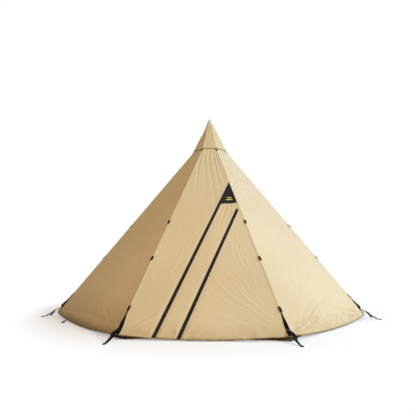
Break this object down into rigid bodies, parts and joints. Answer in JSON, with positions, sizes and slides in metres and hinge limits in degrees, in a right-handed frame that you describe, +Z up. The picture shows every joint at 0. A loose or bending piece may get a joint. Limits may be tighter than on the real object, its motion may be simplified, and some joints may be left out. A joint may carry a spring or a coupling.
{
  "type": "teepee tent",
  "caption": "Eight-sided canvas teepee tent on one centre pole, with a vent hat, a slanted double-zip door, sod cloth and corner peg straps.",
  "frame": {"origin": "on the ground under the centre pole, at the middle of the footprint", "axes": "+Z up along the pole, the door side faces -Y, +X to the right of someone facing the door"},
  "size_m": [4.8288, 4.8288, 3.365],
  "materials": {
    "canvas": "plain-weave cotton canvas, matt",
    "hat_canvas": "plain-weave cotton canvas, matt",
    "hat_binding": "folded canvas binding with stitching",
    "black_cloth": "coated black reinforcement cloth",
    "black_webbing": "woven black webbing",
    "ridge_webbing": "woven dark webbing, sewn inside the seams",
    "lock_plastic": "moulded black acetal",
    "zip_tape": "woven zip tape with a moulded coil",
    "zip_metal": "black painted zinc, worn at the edges",
    "olive_webbing": "woven olive webbing",
    "sod_cloth": "coated dark brown sod cloth",
    "pole_aluminium": "anodised aluminium, satin",
    "steel_button": "spring steel",
    "foot_rubber": "moulded black rubber",
    "head_plastic": "moulded black nylon",
    "badge_thread": "golden yellow satin-stitch bars"
  },
  "bodies": {
    "tent": {"corner_patches": "black_cloth", "corner_tabs": "black_webbing", "crown_band": "ridge_webbing", "crown_straps": "ridge_webbing", "door_edge_panel": "canvas", "door_patch": "black_cloth", "front_panel": "canvas", "guy_tabs": "black_webbing", "hem_peg_loops": "olive_webbing", "panel_back": "canvas", "panel_left": "canvas", "panel_left_back": "canvas", "panel_left_front": "canvas", "panel_right": "canvas", "panel_right_back": "canvas", "panel_right_front": "canvas", "patch_badge": "badge_thread", "pole_buttons": "steel_button", "pole_finial": "pole_aluminium", "pole_foot": "foot_rubber", "pole_head": "head_plastic", "pole_lower": "pole_aluminium", "pole_middle": "pole_aluminium", "pole_upper": "pole_aluminium", "ridge_webbing": "ridge_webbing", "sod_ground_flap": "sod_cloth", "sod_skirt": "sod_cloth", "zip_tape_fixed": "zip_tape"},
    "door_flap": {"door_flap": "canvas", "zip_tape_flap": "zip_tape"},
    "door_strip": {"door_strip": "canvas", "zip_tape_strip_left": "zip_tape", "zip_tape_strip_right": "zip_tape"},
    "slider_left": {"slider_left": "zip_metal"},
    "slider_right": {"slider_right": "zip_metal"},
    "pull_left": {"pull_left": "zip_metal"},
    "pull_right": {"pull_right": "zip_metal"},
    "hat": {"vent_hat": "hat_canvas", "hat_binding": "hat_binding", "hat_cap": "hat_canvas", "hat_toggles": "black_webbing"},
    "strap_1": {"corner_strap_1": "black_webbing", "ladder_lock_1": "lock_plastic"},
    "strap_2": {"corner_strap_2": "black_webbing", "ladder_lock_2": "lock_plastic"},
    "strap_3": {"corner_strap_3": "black_webbing", "ladder_lock_3": "lock_plastic"},
    "strap_4": {"corner_strap_4": "black_webbing", "ladder_lock_4": "lock_plastic"},
    "strap_5": {"corner_strap_5": "black_webbing", "ladder_lock_5": "lock_plastic"},
    "strap_6": {"corner_strap_6": "black_webbing", "ladder_lock_6": "lock_plastic"},
    "strap_7": {"corner_strap_7": "black_webbing", "ladder_lock_7": "lock_plastic"},
    "strap_8": {"corner_strap_8": "black_webbing", "ladder_lock_8": "lock_plastic"}
  },
  "joints": [
    {"name": "door_flap_hinge", "type": "hinge", "parent": "tent", "child": "door_flap", "pos_m": [0.59918, -1.64716, 0.83574], "axis": [-0.1688, 0.5798, 0.7971], "range_deg": [0, 135]},
    {"name": "door_strip_hinge", "type": "hinge", "parent": "tent", "child": "door_strip", "pos_m": [0.30142, -1.06054, 1.64214], "axis": [-0.995, -0.0587, -0.0806], "range_deg": [0, 95]},
    {"name": "slider_left_slide", "type": "slide", "parent": "tent", "child": "slider_left", "axis": [0.3329, 0.5547, 0.7625], "range_m": [0, 1.953]},
    {"name": "pull_left_hinge", "type": "hinge", "parent": "slider_left", "child": "pull_left", "pos_m": [-0.50791, -2.20146, 0.08586], "axis": [-0.943, 0.1958, 0.2692], "range_deg": [0, 110]},
    {"name": "slider_right_slide", "type": "slide", "parent": "door_flap", "child": "slider_right", "axis": [0.3435, 0.5525, 0.7595], "range_m": [0, 1.856]},
    {"name": "pull_right_hinge", "type": "hinge", "parent": "slider_right", "child": "pull_right", "pos_m": [-0.22819, -2.21352, 0.06928], "axis": [-0.9392, 0.2021, 0.2778], "range_deg": [0, 110]},
    {"name": "vent_hat_lift", "type": "slide", "parent": "tent", "child": "hat", "axis": [0, 0, 1], "range_m": [0, 0.06]},
    {"name": "corner_strap_1_lift", "type": "hinge", "parent": "tent", "child": "strap_1", "pos_m": [0.90498, -2.18481, 0.11477], "axis": [-0.9239, -0.3827, 0], "range_deg": [0, 25]},
    {"name": "corner_strap_2_lift", "type": "hinge", "parent": "tent", "child": "strap_2", "pos_m": [2.18481, -0.90498, 0.11477], "axis": [-0.3827, -0.9239, 0], "range_deg": [0, 25]},
    {"name": "corner_strap_3_lift", "type": "hinge", "parent": "tent", "child": "strap_3", "pos_m": [2.18481, 0.90498, 0.11477], "axis": [0.3827, -0.9239, 0], "range_deg": [0, 25]},
    {"name": "corner_strap_4_lift", "type": "hinge", "parent": "tent", "child": "strap_4", "pos_m": [0.90498, 2.18481, 0.11477], "axis": [0.9239, -0.3827, 0], "range_deg": [0, 25]},
    {"name": "corner_strap_5_lift", "type": "hinge", "parent": "tent", "child": "strap_5", "pos_m": [-0.90498, 2.18481, 0.11477], "axis": [0.9239, 0.3827, 0], "range_deg": [0, 25]},
    {"name": "corner_strap_6_lift", "type": "hinge", "parent": "tent", "child": "strap_6", "pos_m": [-2.18481, 0.90498, 0.11477], "axis": [0.3827, 0.9239, 0], "range_deg": [0, 25]},
    {"name": "corner_strap_7_lift", "type": "hinge", "parent": "tent", "child": "strap_7", "pos_m": [-2.18481, -0.90498, 0.11477], "axis": [-0.3827, 0.9239, 0], "range_deg": [0, 25]},
    {"name": "corner_strap_8_lift", "type": "hinge", "parent": "tent", "child": "strap_8", "pos_m": [-0.90498, -2.18481, 0.11477], "axis": [-0.9239, 0.3827, 0], "range_deg": [0, 25]}
  ]
}
